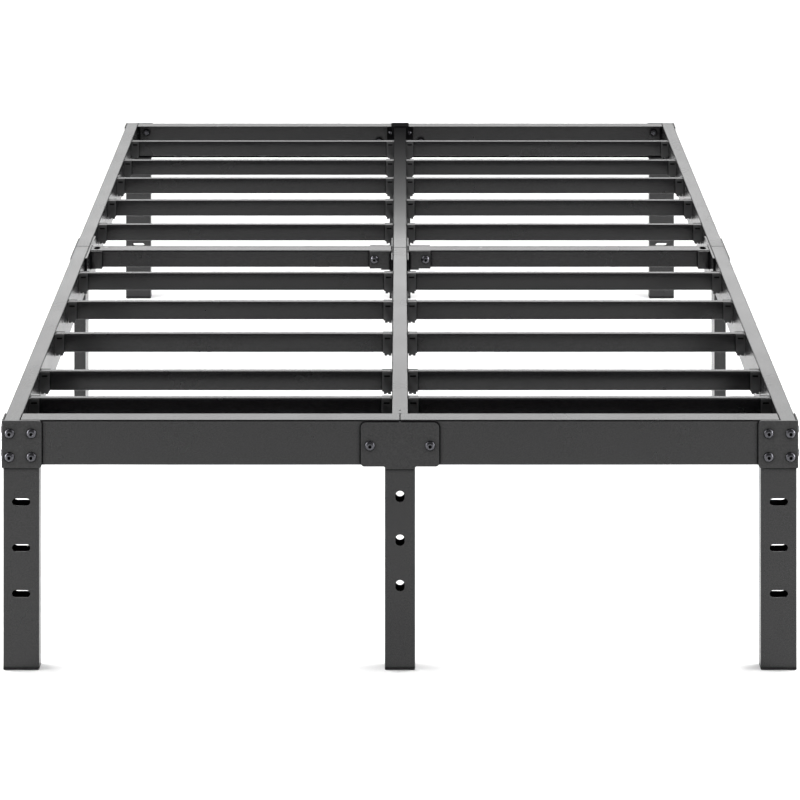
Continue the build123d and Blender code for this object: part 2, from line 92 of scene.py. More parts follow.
# How far two faces turn at their shared edge, in degrees
ROUNDED_OVER = 40.0     # edges that turn by more are rounded
SHARP_OVER = 32.0       # edges that turn by more are shaded sharp
TURNED_SHARP_OVER = 38.0    # the same on bolts and nuts
BEAD_SHARP_OVER = 70.0      # and on weld beads, whose ripples stay smooth

COLUMNS = 800           # image columns that the lens is stated for

# Bolts in mm: head width and height, shank, socket, and the pitch as a share of the M8 one's
BOLTS = {"m6": (12.4, 3.2, 5.9, 4.0, 0.8), "m8": (18.4, 4.5, 7.9, 6.0, 1.0)}
LARGE_RIM = 8.0         # mm: M8 heads have a larger radius, M6 heads a smaller one
NUT = (12.9, 6.5, 8.2)  # mm: across flats, height, bore


# ---- Sizes and colours a user would change ---------------------------------------------


def millimetres(name, default, description, low=0.01, high=100.0):
    return FloatProperty(
        name=name, default=default, description=description, min=low, max=high, unit="NONE"
    )


def hexcode(name, default, description):
    return StringProperty(name=name, default=default, description=description, maxlen=7)


class BedFrameFinish(bpy.types.PropertyGroup):
    """Colours as sRGB hex codes, and the sheen and grain of each finish."""

    coat_dark: hexcode("Powder coat", "#0d0d0e", "Colour of the satin black powder coat")
    coat_light: hexcode("Powder coat, thin", "#111112", "Colour where the coat is a little thinner")
    coat_gloss: FloatProperty(
        name="Coat gloss", default=0.46, min=0.0, max=1.0, description="Strength of the coat's reflections"
    )
    # Painted shade: a lower gloss on a copy of the same coat, for the slats, the cross-bars and the head
    # rails
    shaded_copy_gloss: FloatProperty(
        name="Thin coat gloss", default=0.35, min=0.0, max=1.0,
        description="The same on the slats, the cross-bars and the head rails",
    )
    coat_roughness: FloatProperty(
        name="Coat roughness", default=0.26, min=0.0, max=1.0, description="Satin sheen of the powder coat"
    )
    # Painted shade: the rear beam's reflections fade out between these two distances along Y
    shade_fade_from: FloatProperty(
        name="Dry coat from", default=0.0, unit="LENGTH",
        description="Where on the rear beam the sheen starts to fade",
    )
    shade_fade_to: FloatProperty(
        name="Dry coat to", default=0.95, unit="LENGTH",
        description="Where on the rear beam the sheen is gone",
    )
    patch_mm: millimetres("Patches", 90.0, "Size of the patches where the coat is thicker or thinner")
    peel_mm: millimetres("Orange peel", 6.0, "Spacing of the soft waves in the coat")
    grain_mm: millimetres("Powder grain", 2.4, "Spacing of the coat's fine grain")
    # Painted shade: how far from an inside corner the coat's reflections fade out
    crease_shade_mm: millimetres("Crease", 9.0, "How far from an inside corner the coat turns matt")
    oxide: hexcode("Black oxide", "#4c4c50", "Colour of the bolts and nuts")
    oxide_rubbed: hexcode("Black oxide, rubbed", "#5c5c60", "Colour where the bolts and nuts are rubbed")
    # Painted shade: near black in the bolts' sockets and round the foot of their heads
    socket_shade: hexcode("Oil", "#060606", "Colour in the sockets and round the foot of the heads")
    nylon: hexcode("Nylon", "#0b0b0c", "Colour of the moulded slat shoes")
    nylon_light: hexcode("Nylon, light", "#1a1a1b", "Colour of the tips of the shoes' grain")
    foot: hexcode("Foot caps", "#121212", "Colour of the moulded foot caps")
    foot_bloom: hexcode("Foot cap bloom", "#202021", "Colour of the bloom on the foot caps")


class BedFrameSizes(bpy.types.PropertyGroup):
    """Sizes of the details, in millimetres."""

    plate_edge: millimetres("Plate edge", 0.8, "Rounding of the 3 mm plates' edges")
    sheet_edge: millimetres("Sheet edge", 0.5, "Rounding of the folded sheet's edges")
    shoe_edge: millimetres("Shoe edge", 0.4, "Rounding of the slat shoes' edges")
    slat_wall: millimetres("Slat wall", 1.2, "Wall of the slat tubes")
    slat_corner: millimetres("Slat corner", 2.4, "Outer corner radius of the slat tubes")
    thread_pitch: millimetres("Thread pitch", 1.25, "Pitch of the M8 thread")
    weld_width: millimetres("Weld width", 4.0, "Width of the weld beads under the brackets")
    weld_ripple: millimetres("Weld ripple", 2.6, "Spacing of the ripples along a weld bead")
    spin_seed: IntProperty(name="Bolt seed", default=7, description="Seed for how far each bolt is turned")


class BedFrameStudio(bpy.types.PropertyGroup):
    """Floor, lights and camera."""

    floor: hexcode("Floor", "#f8f8f8", "Colour of the studio floor")
    sky: FloatProperty(
        name="Surround", default=1.0, min=0.0, description="Brightness of the surround near the horizon"
    )
    zenith: FloatProperty(
        name="Zenith", default=0.15, min=0.0, description="Brightness of the surround overhead"
    )
    back_watts: FloatProperty(
        name="Back light", default=170.0, min=0.0, unit="POWER", description="Softbox behind the head end"
    )
    side_watts: FloatProperty(
        name="Side lights", default=440.0, min=0.0, unit="POWER", description="Softbox on each side"
    )
    strip_watts: FloatProperty(
        name="Strip lights", default=42.0, min=0.0, unit="POWER",
        description="Strip light beside each foot corner",
    )
    distance: FloatProperty(
        name="Camera distance", default=4.46, min=0.5, unit="LENGTH",
        description="From the foot end to the camera",
    )
    height: FloatProperty(
        name="Camera height", default=1.8196, min=0.1, unit="LENGTH",
        description="Camera height above the rails",
    )
    focal_columns: FloatProperty(
        name="Focal length", default=2334.0, min=1.0, description="Focal length, in image columns"
    )
    horizon_columns: FloatProperty(
        name="Horizon", default=931.3, min=0.0,
        description="How far the horizon stands above the middle, in image columns",
    )


# ---- Small helpers ---------------------------------------------------------------------


def linear(code):
    """Linear RGBA from an sRGB hex code, such as #0d0d0e."""
    values = [int(code[i : i + 2], 16) / 255 for i in (1, 3, 5)]
    return tuple(v / 12.92 if v <= 0.04045 else ((v + 0.055) / 1.055) ** 2.4 for v in values) + (1.0,)


def add_node(tree, kind, inputs=None, **settings):
    """Adds a node, sets its settings, and fills or links its inputs."""
    node = tree.nodes.new(kind)
    for name, value in settings.items():
        setattr(node, name, value)
    for key, value in (inputs or {}).items():
        if isinstance(value, bpy.types.NodeSocket):
            tree.links.new(value, node.inputs[key])
        else:
            node.inputs[key].default_value = value
    return node


def add_object(name, data):
    """A new object in the scene, at the origin."""
    obj = bpy.data.objects.new(name, data)
    bpy.context.scene.collection.objects.link(obj)
    return obj


def settle(obj, material, slot, *nodes):
    """A finished piece: gives it its material and its body, and hides the CAD nodes it stands for; the slot
    is not used.
    """
    obj.data.materials.clear()
    obj.data.materials.append(bpy.data.materials[material])
    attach(obj, "root")
    if nodes:
        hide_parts(*nodes)
    return obj


def bake_modifiers(obj):
    """Turns what the object's modifiers give into its plain mesh, and removes them."""
    depsgraph = bpy.context.evaluated_depsgraph_get()
    depsgraph.update()
    mesh = bpy.data.meshes.new_from_object(obj.evaluated_get(depsgraph))
    mesh.name = obj.name
    obj.modifiers.clear()
    obj.data = mesh


def smooth_by_angle(mesh, degrees=SHARP_OVER):
    """Smooth faces, with sharp edges wherever two faces meet at more than the angle."""
    bm = bmesh.new()
    bm.from_mesh(mesh)
    for face in bm.faces:
        face.smooth = True
    for edge in bm.edges:
        edge.smooth = not edge.is_manifold or edge.calc_face_angle(0.0) < math.radians(degrees)
    bm.to_mesh(mesh)
    bm.free()


def finished_mesh(bm, name, degrees=SHARP_OVER):
    """A bmesh's shape as a mesh with its sharp edges marked. The bmesh is freed."""
    mesh = bpy.data.meshes.new(name)
    bm.to_mesh(mesh)
    bm.free()
    smooth_by_angle(mesh, degrees)
    return mesh


def round_edges(obj, width_mm):
    """A bevel modifier on the object's sharp edges."""
    edges = obj.modifiers.new("Edges", "BEVEL")
    edges.width = width_mm * MM
    edges.segments = 2
    edges.limit_method = "ANGLE"
    edges.angle_limit = math.radians(ROUNDED_OVER)
    return edges


def merged_copy(node):
    """A CAD node's mesh as a new bmesh, with its loose triangles merged and its flats dissolved."""
    source = NODES[node].data
    bm = bmesh.new()
    verts = [bm.verts.new(v.co) for v in source.vertices]
    for polygon in source.polygons:
        bm.faces.new([verts[i] for i in polygon.vertices])
    bmesh.ops.remove_doubles(bm, verts=bm.verts, dist=1e-6)
    bmesh.ops.dissolve_limit(bm, angle_limit=math.radians(0.6), verts=bm.verts, edges=bm.edges)
    return bm


def islands(node):
    """The separate solids of a CAD node, each as a list of points."""
    bm = bmesh.new()
    bm.from_mesh(NODES[node].data)
    bmesh.ops.remove_doubles(bm, verts=bm.verts, dist=1e-6)
    seen, found = set(), []
    for start in bm.verts:
        if start in seen:
            continue
        stack, group = [start], []
        seen.add(start)
        while stack:
            vert = stack.pop()
            group.append(vert.co.copy())
            for edge in vert.link_edges:
                other = edge.other_vert(vert)
                if other not in seen:
                    seen.add(other)
                    stack.append(other)
        found.append(group)
    bm.free()
    return found


def extent(points):
    """The lowest and highest corner of a set of points."""
    low = Vector([min(p[i] for p in points) for i in range(3)])
    high = Vector([max(p[i] for p in points) for i in range(3)])
    return low, high


# ---- Materials -------------------------------------------------------------------------


# Most of a noise's values lie in this range.
NOISE_RANGE = {"From Min": 0.3, "From Max": 0.7}


def per_mm(size):
    """The scale of a noise whose lumps are about this many millimetres, on coordinates in metres."""
    return 1.0 / (size * MM)


def new_material(name):
    """A material's empty node tree, and the coordinates its patterns lie on."""
    material = bpy.data.materials.new(name)
    material.use_nodes = True
    material.node_tree.nodes.clear()
    return material.node_tree, add_node(material.node_tree, "ShaderNodeTexCoord").outputs["Object"]


def close_material(tree, surface):
    """Every material ends in one shader with the given inputs."""
    shader = add_node(tree, "ShaderNodeBsdfPrincipled", surface)
    add_node(tree, "ShaderNodeOutputMaterial", {"Surface": shader.outputs["BSDF"]})
    return shader


def powder_coated_steel(finish, name, gloss, fade=None):
    """Satin black polyester powder coat, sprayed and baked on folded steel.

    The eye gets a deep grey-black with a soft broken sheen: slow waves of orange peel, a fine
    grain that scatters highlights, and faint patches where the film is thicker or thinner.
    With a fade, the sheen dies away between two distances along Y, as painted shade towards the rear.
    """
    tree, place = new_material(name)
    patches = add_node(tree, "ShaderNodeTexNoise", {
        "Vector": place, "Scale": per_mm(finish.patch_mm), "Detail": 3.0, "Roughness": 0.5,
    }).outputs["Fac"]
    peel = add_node(tree, "ShaderNodeTexNoise", {
        "Vector": place, "Scale": per_mm(finish.peel_mm), "Detail": 1.0, "Roughness": 0.5,
    }).outputs["Fac"]
    # The real grain is about 0.3 mm, drawn coarser so that it shows.
    grain = add_node(tree, "ShaderNodeTexNoise", {
        "Vector": place, "Scale": per_mm(finish.grain_mm), "Detail": 2.0, "Roughness": 0.6,
    }).outputs["Fac"]
    colour = add_node(tree, "ShaderNodeMix", {
        0: patches, 6: linear(finish.coat_dark), 7: linear(finish.coat_light),
    }, data_type="RGBA").outputs[2]
    rough = add_node(tree, "ShaderNodeMapRange", {
        "Value": patches, **NOISE_RANGE,
        "To Min": finish.coat_roughness - 0.02, "To Max": finish.coat_roughness + 0.02,
    }).outputs["Result"]
    waves = add_node(tree, "ShaderNodeBump", {"Height": peel, "Strength": 0.35, "Distance": 0.12 * MM})
    relief = add_node(tree, "ShaderNodeBump", {
        "Height": grain, "Strength": 0.30, "Distance": 0.05 * MM, "Normal": waves.outputs["Normal"],
    })
    # Painted shade: near inside corners the coat's reflections fade out, by ambient occlusion.
    shade_occlusion = add_node(
        tree, "ShaderNodeAmbientOcclusion", {"Distance": finish.crease_shade_mm * MM}, samples=8, only_local=False,
    )
    sheen = add_node(tree, "ShaderNodeMapRange", {
        "Value": shade_occlusion.outputs["AO"], "From Min": 0.75, "From Max": 0.98, "To Max": gloss,
    })
    glitter = add_node(tree, "ShaderNodeMapRange", {
        "Value": grain, **NOISE_RANGE, "To Min": 0.8, "To Max": 1.2,
    })
    level = add_node(tree, "ShaderNodeMath", {
        0: sheen.outputs["Result"], 1: glitter.outputs["Result"],
    }, operation="MULTIPLY").outputs[0]
    # Painted shade: the reflections fade out towards the rear along Y
    if fade:
        along = add_node(tree, "ShaderNodeSeparateXYZ", {"Vector": place}).outputs["Y"]
        shade_fade = add_node(tree, "ShaderNodeMapRange", {
            "Value": along, "From Min": fade[0], "From Max": fade[1],
        }).outputs["Result"]
        level = add_node(tree, "ShaderNodeMix", {0: shade_fade, 2: level, 3: 0.02}).outputs[0]
        rough = add_node(tree, "ShaderNodeMix", {0: shade_fade, 2: rough, 3: 0.95}).outputs[0]
    shader = close_material(tree, {
        "Base Color": colour, "IOR": 1.5, "Roughness": rough, "Normal": relief.outputs["Normal"],
    })
    shader.inputs["Specular IOR Level"].default_value = gloss
    tree.links.new(level, shader.inputs["Specular IOR Level"])


def black_oxide_steel(finish):
    """Black-oxide bolt steel, cold headed, then tumbled and oiled.

    The eye gets dark metal with a tight oily highlight, and small lighter rubs.
    """
    tree, place = new_material("black_oxide_steel")
    rubs = add_node(tree, "ShaderNodeTexNoise", {
        "Vector": place, "Scale": per_mm(2.5), "Detail": 4.0, "Roughness": 0.65,
    }).outputs["Fac"]
    share = add_node(tree, "ShaderNodeMapRange", {"Value": rubs, **NOISE_RANGE, "To Max": 0.45})
    rubbed = add_node(tree, "ShaderNodeMix", {
        0: share.outputs["Result"], 6: linear(finish.oxide), 7: linear(finish.oxide_rubbed),
    }, data_type="RGBA")
    # Painted shade: the colour goes to near black where ambient occlusion is low, in the socket and round
    # the foot of the head.
    shade_occlusion = add_node(
        tree, "ShaderNodeAmbientOcclusion", {"Distance": 5.0 * MM}, samples=8, only_local=False,
    )
    unshaded = add_node(tree, "ShaderNodeMapRange", {
        "Value": shade_occlusion.outputs["AO"], "From Min": 0.6, "From Max": 0.9,
    })
    colour = add_node(tree, "ShaderNodeMix", {
        0: unshaded.outputs["Result"], 6: linear(finish.socket_shade), 7: rubbed.outputs[2],
    }, data_type="RGBA")
    rough = add_node(tree, "ShaderNodeMapRange", {
        "Value": rubs, **NOISE_RANGE, "To Min": 0.15, "To Max": 0.24,
    })
    relief = add_node(tree, "ShaderNodeBump", {"Height": rubs, "Strength": 0.1, "Distance": 0.02 * MM})
    close_material(tree, {
        "Base Color": colour.outputs[2], "Metallic": 0.85, "Roughness": rough.outputs["Result"],
        "Normal": relief.outputs["Normal"],
    })


def moulded_nylon(finish):
    """Glass-filled black nylon, injection moulded in a spark-textured tool.

    The eye gets a near-black, slightly chalky plastic that stays duller than the coat beside it.
    """
    tree, place = new_material("moulded_nylon")
    # The real grain is about 0.1 mm, drawn coarser so that it shows.
    spark = add_node(tree, "ShaderNodeTexNoise", {
        "Vector": place, "Scale": per_mm(0.9), "Detail": 3.0, "Roughness": 0.7,
    }).outputs["Fac"]
    colour = add_node(tree, "ShaderNodeMix", {
        0: spark, 6: linear(finish.nylon), 7: linear(finish.nylon_light),
    }, data_type="RGBA")
    rough = add_node(tree, "ShaderNodeMapRange", {
        "Value": spark, **NOISE_RANGE, "To Min": 0.48, "To Max": 0.66,
    })
    relief = add_node(tree, "ShaderNodeBump", {"Height": spark, "Strength": 0.35, "Distance": 0.06 * MM})
    close_material(tree, {
        "Base Color": colour.outputs[2], "IOR": 1.53, "Roughness": rough.outputs["Result"],
        "Normal": relief.outputs["Normal"],
    })


def moulded_foot_plastic(finish):
    """Matt black polyethylene, injection moulded.

    The eye gets a waxy matt black with a faint grey bloom.
    """
    tree, place = new_material("moulded_foot_plastic")
    bloom = add_node(tree, "ShaderNodeTexNoise", {
        "Vector": place, "Scale": per_mm(14.0), "Detail": 4.0, "Roughness": 0.6,
    }).outputs["Fac"]
    pores = add_node(tree, "ShaderNodeTexNoise", {
        "Vector": place, "Scale": per_mm(1.1), "Detail": 2.0, "Roughness": 0.5,
    }).outputs["Fac"]
    colour = add_node(tree, "ShaderNodeMix", {
        0: bloom, 6: linear(finish.foot), 7: linear(finish.foot_bloom),
    }, data_type="RGBA")
    rough = add_node(tree, "ShaderNodeMapRange", {
        "Value": bloom, **NOISE_RANGE, "To Min": 0.55, "To Max": 0.75,
    })
    relief = add_node(tree, "ShaderNodeBump", {"Height": pores, "Strength": 0.3, "Distance": 0.08 * MM})
    close_material(tree, {
        "Base Color": colour.outputs[2], "IOR": 1.51, "Roughness": rough.outputs["Result"],
        "Normal": relief.outputs["Normal"],
    })


def studio_floor(studio):
    """Matt white painted floor: flat and pale, with the faintest roller texture."""
    tree, place = new_material("studio_floor")
    roller = add_node(tree, "ShaderNodeTexNoise", {
        "Vector": place, "Scale": per_mm(5.0), "Detail": 2.0, "Roughness": 0.5,
    })
    relief = add_node(tree, "ShaderNodeBump", {
        "Height": roller.outputs["Fac"], "Strength": 0.05, "Distance": 0.1 * MM,
    })
    close_material(tree, {
        "Base Color": linear(studio.floor), "Specular IOR Level": 0.1, "Roughness": 0.9,
        "Normal": relief.outputs["Normal"],
    })


# ---- Geometry node trees ---------------------------------------------------------------


def new_tree(name, sockets):
    """A geometry node group with the named inputs, and its input node."""
    tree = bpy.data.node_groups.new(name, "GeometryNodeTree")
    tree.is_modifier = True
    tree.interface.new_socket("Geometry", in_out="INPUT", socket_type="NodeSocketGeometry")
    for socket, kind, default in sockets:
        made = tree.interface.new_socket(socket, in_out="INPUT", socket_type=kind)
        if default is not None:
            made.default_value = default
    tree.interface.new_socket("Geometry", in_out="OUTPUT", socket_type="NodeSocketGeometry")
    return tree, tree.nodes.new("NodeGroupInput").outputs


def close_tree(tree, instances, material):
    """Every tree ends in real geometry with its material set."""
    real = add_node(tree, "GeometryNodeRealizeInstances", {"Geometry": instances})
    painted = add_node(tree, "GeometryNodeSetMaterial", {"Geometry": real.outputs[0], "Material": material})
    add_node(tree, "NodeGroupOutput", {"Geometry": painted.outputs[0]})
    return tree


def run_tree(obj, tree, values):
    """Runs a tree on an object once, with values by input name, and keeps the result as its mesh."""
    modifier = obj.modifiers.new(tree.name, "NODES")
    modifier.node_group = tree
    for item in tree.interface.items_tree:
        if item.in_out == "INPUT" and item.name in values:
            modifier[item.identifier] = values[item.name]
    bake_modifiers(obj)


def points_object(name, places, turns=None):
    """A mesh of loose points, each with the way it is turned."""
    mesh = bpy.data.meshes.new(name)
    mesh.from_pydata([tuple(p) for p in places], [], [])
    if turns is not None:
        turn = mesh.attributes.new("turn", "FLOAT_VECTOR", "POINT")
        for item, value in zip(turn.data, turns):
            item.vector = value
    return add_object(name, mesh)


def tube_tree():
    """A hollow rectangular tube on X, laid at every point."""
    tree, given = new_tree("Tube slats", [
        ("Length", "NodeSocketFloat", 0.7), ("Width", "NodeSocketFloat", 0.015),
        ("Height", "NodeSocketFloat", 0.038), ("Wall", "NodeSocketFloat", 0.0012),
        ("Corner", "NodeSocketFloat", 0.002), ("Material", "NodeSocketMaterial", None),
    ])
    walls_across = {"Width": 2.0, "Height": 2.0, "Corner": 1.0}
    outer = {name: given[name] for name in walls_across}
    inner = {}
    for name, count in walls_across.items():
        taken = add_node(
            tree, "ShaderNodeMath", {0: given["Wall"], 1: count}, operation="MULTIPLY",
        ).outputs[0]
        inner[name] = add_node(
            tree, "ShaderNodeMath", {0: given[name], 1: taken}, operation="SUBTRACT",
        ).outputs[0]
    loops = []
    for size in (outer, inner):
        loop = add_node(tree, "GeometryNodeCurvePrimitiveQuadrilateral", {
            "Width": size["Width"], "Height": size["Height"],
        })
        loops.append(add_node(tree, "GeometryNodeFilletCurve", {
            "Curve": loop.outputs[0], "Radius": size["Corner"], "Count": 4,
        }, mode="POLY").outputs[0])
    both = add_node(tree, "GeometryNodeJoinGeometry")
    for loop in loops:
        tree.links.new(loop, both.inputs[0])
    ring = add_node(tree, "GeometryNodeFillCurve", {"Curve": both.outputs[0]}, mode="TRIANGLES")
    upright = add_node(tree, "GeometryNodeTransform", {
        "Geometry": ring.outputs[0], "Rotation": (math.pi / 2, 0.0, math.pi / 2),
    })
    half = add_node(tree, "ShaderNodeMath", {0: given["Length"], 1: -0.5}, operation="MULTIPLY").outputs[0]
    start = add_node(tree, "ShaderNodeCombineXYZ", {"X": half}).outputs[0]
    section = add_node(tree, "GeometryNodeTransform", {"Geometry": upright.outputs[0], "Translation": start})
    run = add_node(tree, "ShaderNodeCombineXYZ", {"X": given["Length"]}).outputs[0]
    walls = add_node(tree, "GeometryNodeExtrudeMesh", {
        "Mesh": section.outputs[0], "Offset": run, "Offset Scale": 1.0, "Individual": False,
    }, mode="FACES")
    back = add_node(tree, "GeometryNodeFlipFaces", {"Mesh": section.outputs[0]})
    tube = add_node(tree, "GeometryNodeJoinGeometry")
    tree.links.new(walls.outputs[0], tube.inputs[0])
    tree.links.new(back.outputs[0], tube.inputs[0])
    welded = add_node(tree, "GeometryNodeMergeByDistance", {"Geometry": tube.outputs[0], "Distance": 1e-5})
    laid = add_node(tree, "GeometryNodeInstanceOnPoints", {
        "Points": given["Geometry"], "Instance": welded.outputs[0],
    })
    return close_tree(tree, laid.outputs[0], given["Material"])


def scatter_tree():
    """Copies of one fitting at every point, turned as the point says and spun by the seed."""
    tree, given = new_tree("Fittings", [
        ("Fitting", "NodeSocketObject", None), ("Spin", "NodeSocketFloat", 0.0),
        ("Seed", "NodeSocketInt", 1), ("Material", "NodeSocketMaterial", None),
    ])
    shape = add_node(tree, "GeometryNodeObjectInfo", {"Object": given["Fitting"], "As Instance": True})
    turn = add_node(tree, "GeometryNodeInputNamedAttribute", {"Name": "turn"}, data_type="FLOAT_VECTOR")
    facing = add_node(tree, "FunctionNodeEulerToRotation", {0: turn.outputs[0]})
    angle = add_node(tree, "FunctionNodeRandomValue", {"Seed": given["Seed"]}, data_type="FLOAT")
    tree.links.new(given["Spin"], next(s for s in angle.inputs if s.name == "Max" and s.type == "VALUE"))
    amount = next(s for s in angle.outputs if s.type == "VALUE")
    spin = add_node(tree, "FunctionNodeEulerToRotation", {
        0: add_node(tree, "ShaderNodeCombineXYZ", {"Z": amount}).outputs[0],
    })
    both = add_node(tree, "FunctionNodeRotateRotation", {
        "Rotation": facing.outputs[0], "Rotate By": spin.outputs[0],
    }, rotation_space="LOCAL")
    put = add_node(tree, "GeometryNodeInstanceOnPoints", {
        "Points": given["Geometry"], "Instance": shape.outputs["Geometry"], "Rotation": both.outputs[0],
    })
    return close_tree(tree, put.outputs[0], given["Material"])


def weld_tree():
    """A rippled weld bead along every edge path."""
    tree, given = new_tree("Weld beads", [
        ("Width", "NodeSocketFloat", 0.004), ("Ripple", "NodeSocketFloat", 0.0026),
        ("Material", "NodeSocketMaterial", None),
    ])
    path = add_node(tree, "GeometryNodeMeshToCurve", {"Mesh": given["Geometry"]})
    step = add_node(tree, "ShaderNodeMath", {0: given["Ripple"], 1: 0.25}, operation="MULTIPLY").outputs[0]
    even = add_node(tree, "GeometryNodeResampleCurve", {
        "Curve": path.outputs[0], "Length": step,
    }, mode="LENGTH")
    along = add_node(tree, "GeometryNodeSplineParameter").outputs["Length"]
    phase = add_node(tree, "ShaderNodeMath", {0: along, 1: given["Ripple"]}, operation="DIVIDE").outputs[0]
    saw = add_node(tree, "ShaderNodeMath", {0: phase}, operation="FRACT").outputs[0]
    swell = add_node(tree, "ShaderNodeMapRange", {"Value": saw, "To Min": 0.40, "To Max": 0.52}).outputs[0]
    radius = add_node(tree, "ShaderNodeMath", {0: swell, 1: given["Width"]}, operation="MULTIPLY").outputs[0]
    section = add_node(tree, "GeometryNodeCurvePrimitiveCircle", {"Resolution": 8, "Radius": 1.0})
    bead = add_node(tree, "GeometryNodeCurveToMesh", {
        "Curve": even.outputs[0], "Profile Curve": section.outputs[0], "Scale": radius, "Fill Caps": True,
    })
    return close_tree(tree, bead.outputs[0], given["Material"])


# ---- Shapes in mesh code ---------------------------------------------------------------


def hexagon(across_flats, angle):
    """Distance from the centre to a hexagon's side at an angle."""
    sixth = math.pi / 3
    return across_flats / 2 / math.cos((angle + sixth / 2) % sixth - sixth / 2)


def turned(name, rings, segments=36, closed=False):
    """A mesh turned about Z from rings of (radius or (hexagon, across flats), height), in mm.

    The first and last ring close to a point, unless the section itself is a closed loop.
    """
    bm = bmesh.new()
    rows = []
    for radius, height in rings:
        row = []
        for i in range(segments):
            angle = 2 * math.pi * i / segments
            r = hexagon(radius[1], angle) if isinstance(radius, tuple) else radius
            row.append(bm.verts.new((r * MM * math.cos(angle), r * MM * math.sin(angle), height * MM)))
        rows.append(row)
    pairs = list(zip(rows, rows[1:]))
    if closed:
        pairs.append((rows[-1], rows[0]))
    for low, high in pairs:
        for i in range(segments):
            j = (i + 1) % segments
            bm.faces.new((low[i], low[j], high[j], high[i]))
    if not closed:
        for row, height in ((rows[0], rings[0][1]), (rows[-1], rings[-1][1])):
            centre = bm.verts.new((0.0, 0.0, height * MM))
            for i in range(segments):
                bm.faces.new((row[i], row[(i + 1) % segments], centre))
    bmesh.ops.recalc_face_normals(bm, faces=bm.faces)
    return finished_mesh(bm, name, TURNED_SHARP_OVER)


# The outside of a button head from its crown down: radius and height as shares of the head's
HEAD_PROFILE = (
    (0.26, 0.98), (0.29, 0.93), (0.32, 0.86), (0.44, 0.48), (0.465, 0.38), (0.485, 0.26), (0.498, 0.14),
)


def bolt_mesh(name, head, head_height, shank, length, socket, pitch):
    """A button-head bolt: hexagon socket, domed head and a threaded shank with a chamfered end."""
    flat, mouth = ("hexagon", socket), ("hexagon", socket + 0.7)
    rings = [(flat, -0.5), (flat, head_height - 0.35), (mouth, head_height - 0.04)]
    rings += [(head * 0.22, head_height)]
    rings += [(head * out, head_height * up) for out, up in HEAD_PROFILE]
    rings += [(head / 2 - 0.25, 0.0), (shank / 2, 0.0)]
    groove, chamfer, depth = 0.45, 0.9, 1.5
    while depth + pitch < length - 1.0:
        rings += [(shank / 2, -depth), (shank / 2 - groove, -depth - pitch / 2)]
        depth += pitch
    rings += [(shank / 2, -depth), (shank / 2 - chamfer, -length)]
    return turned(name, rings)


def nut_mesh(name, across, height, bore):
    """A hexagon nut with both faces chamfered and a countersunk bore."""
    flat = ("hexagon", across)
    rings = [
        (bore / 2, -0.5), (bore / 2 + 0.5, 0.0), (across * 0.46, 0.0), (flat, -0.7),
        (flat, 0.7 - height), (across * 0.46, -height), (bore / 2 + 0.5, -height), (bore / 2, 0.5 - height),
    ]
    return turned(name, rings, closed=True)


def rounded_outline(width, depth, radius, steps=5):
    """The points of a rectangle with rounded corners, round its middle."""
    points = []
    for cx, cy, first in ((1, 1, 0), (-1, 1, 90), (-1, -1, 180), (1, -1, 270)):
        for step in range(steps + 1):
            angle = math.radians(first + 90 * step / steps)
            points.append((
                cx * (width / 2 - radius) + radius * math.cos(angle),
                cy * (depth / 2 - radius) + radius * math.sin(angle),
            ))
    return points


def cap_mesh(bm, low, high):
    """A foot cap between two corners: a pad with a chamfered sole and a ribbed plug above it."""
    centre, size = (low + high) / 2, high - low
    pad, wall, chamfer, corner = 3.0 * MM, 1.7 * MM, 0.9 * MM, 3.0 * MM
    pitch, proud, tip = 3.0 * MM, 0.5 * MM, 1.0 * MM
    levels = [(chamfer, 0.0), (0.0, chamfer), (0.0, pad), (wall, pad)]
    rib = pad
    while rib + pitch < size.z:
        levels += [
            (wall, rib + 0.2 * pitch), (wall + proud, rib + 0.4 * pitch),
            (wall + proud, rib + 0.8 * pitch), (wall, rib + pitch),
        ]
        rib += pitch
    levels += [(wall + tip, size.z)]
    rows = []
    for inset, height in levels:
        outline = rounded_outline(size.x - 2 * inset, size.y - 2 * inset, max(corner - inset, 0.8 * MM))
        rows.append([bm.verts.new((centre.x + x, centre.y + y, low.z + height)) for x, y in outline])
    for lower, upper in zip(rows, rows[1:]):
        for i in range(len(lower)):
            j = (i + 1) % len(lower)
            bm.faces.new((lower[i], lower[j], upper[j], upper[i]))
    bm.faces.new(list(reversed(rows[0])))
    bm.faces.new(rows[-1])


def rounded_steel(node, edge_mm):
    """A CAD node's shape with its cut edges rounded, as the coat leaves them."""
    obj = add_object(f"{node}_coated", finished_mesh(merged_copy(node), f"{node}_coated"))
    round_edges(obj, edge_mm).miter_outer = "MITER_ARC"
    flats = obj.modifiers.new("Flats", "WEIGHTED_NORMAL")
    flats.keep_sharp = False
    bake_modifiers(obj)
    return obj


# ---- Operators -------------------------------------------------------------------------


class BEDFRAME_OT_materials(bpy.types.Operator):
    """Makes the finishes of the steel, fasteners, shoes, foot caps and floor"""

    bl_idname = "bedframe.materials"
    bl_label = "Finishes"

    def execute(self, context):
        finish = context.scene.bedframe_finish
        powder_coated_steel(finish, "satin_powder_coat", finish.coat_gloss)
        # Painted shade: the lower-gloss copy of the coat
        powder_coated_steel(finish, "thin_powder_coat", finish.shaded_copy_gloss)
        # Painted shade: a copy of the coat whose reflections fade out towards the rear
        fade = (finish.shade_fade_from, finish.shade_fade_to)
        powder_coated_steel(finish, "dry_powder_coat", finish.coat_gloss, fade)
        black_oxide_steel(finish)
        moulded_nylon(finish)
        moulded_foot_plastic(finish)
        studio_floor(context.scene.bedframe_studio)
        return {"FINISHED"}


